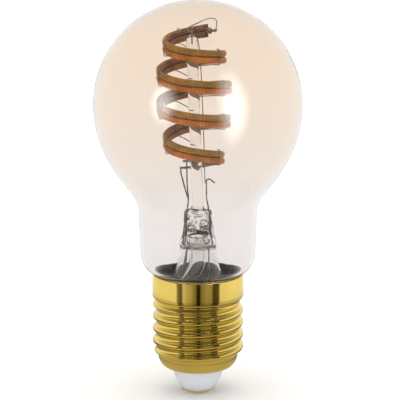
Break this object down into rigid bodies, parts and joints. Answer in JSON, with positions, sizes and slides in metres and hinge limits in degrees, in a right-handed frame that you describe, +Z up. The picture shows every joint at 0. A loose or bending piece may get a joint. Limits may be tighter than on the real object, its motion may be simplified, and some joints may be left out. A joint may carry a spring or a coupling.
{
  "type": "smart light bulb",
  "caption": "Globe-shaped smart light bulb with a spiral two-tone LED filament in tinted glass, on a brass-coloured E27 screw cap.",
  "frame": {"origin": "centre of the end contact's lowest face, on the bulb's axis", "axes": "+Z up the bulb's axis from the end contact to the top of the globe; -Y is the front"},
  "size_m": [0.06, 0.06, 0.115],
  "materials": {
    "amber_glass": "clear blown glass with an amber to peach tint",
    "clear_glass": "clear stem glass",
    "cap_brass": "bright nickel-free brass, polished",
    "white_insulator": "satin white moulding",
    "contact_brass": "bright brass, flat struck face",
    "cement": "dark grey-brown base cement",
    "strip_film": "thin polyimide strip with copper tracks",
    "phosphor_cool": "olive-brown phosphor silicone",
    "phosphor_warm": "orange-brown phosphor silicone",
    "led_chip": "sapphire LED chips",
    "nickel_wire": "nickel-plated wire and clips, slightly dull",
    "seal_copper": "copper-clad sealing wire",
    "black_plastic": "black insulating fibre and moulded parts",
    "sleeve_film": "dark insulating film",
    "circuit_board": "green solder mask over glass fibre",
    "radio_circuit_board": "dark blue solder mask",
    "aluminium_can": "printed-free capacitor can",
    "ferrite": "dark grey ferrite",
    "enamelled_copper": "enamelled copper winding",
    "film_box": "dip-coated film capacitor",
    "tinned_steel": "tin-plated sheet steel",
    "ceramic_parts": "ceramic chip parts",
    "fuse_body": "cement-coated fusible resistor",
    "red_wire": "tinned hook-up wire"
  },
  "bodies": {
    "root": {"bridge_rectifier": "black_plastic", "bulk_capacitor": "aluminium_can", "cap_insulator": "white_insulator", "cap_shell": "cap_brass", "cement_ring": "cement", "centre_post": "clear_glass", "channel_mosfets": "black_plastic", "chip_passives": "ceramic_parts", "common_return_wire": "nickel_wire", "cover_disc": "black_plastic", "driver_board": "circuit_board", "driver_ic": "black_plastic", "end_contact": "contact_brass", "exhaust_tube": "clear_glass", "filament_substrate": "strip_film", "film_capacitor": "film_box", "fusible_resistor": "fuse_body", "glass_envelope": "amber_glass", "inductor_core": "ferrite", "inductor_winding": "enamelled_copper", "insulating_sleeve": "sleeve_film", "lead_common_inner": "nickel_wire", "lead_common_outer": "nickel_wire", "lead_cool_inner": "nickel_wire", "lead_cool_outer": "nickel_wire", "lead_warm_inner": "nickel_wire", "lead_warm_outer": "nickel_wire", "led_chips_cool": "led_chip", "led_chips_warm": "led_chip", "live_lead": "red_wire", "neutral_lead": "red_wire", "phosphor_cool_inner": "phosphor_cool", "phosphor_cool_outer": "phosphor_cool", "phosphor_warm_inner": "phosphor_warm", "phosphor_warm_outer": "phosphor_warm", "radio_board": "radio_circuit_board", "radio_chip": "black_plastic", "radio_pins": "contact_brass", "radio_shield": "tinned_steel", "seal_common": "seal_copper", "seal_cool": "seal_copper", "seal_warm": "seal_copper", "stem_flare": "clear_glass", "support_wire_01": "nickel_wire", "support_wire_02": "nickel_wire", "support_wire_03": "nickel_wire", "support_wire_04": "nickel_wire", "support_wire_05": "nickel_wire", "support_wire_06": "nickel_wire", "support_wire_07": "nickel_wire", "support_wire_08": "nickel_wire", "support_wire_09": "nickel_wire", "support_wire_10": "nickel_wire", "support_wire_11": "nickel_wire", "support_wire_12": "nickel_wire", "terminal_common": "nickel_wire", "terminal_cool": "nickel_wire", "terminal_warm": "nickel_wire", "top_anchor_wire": "nickel_wire"}
  },
  "joints": []
}
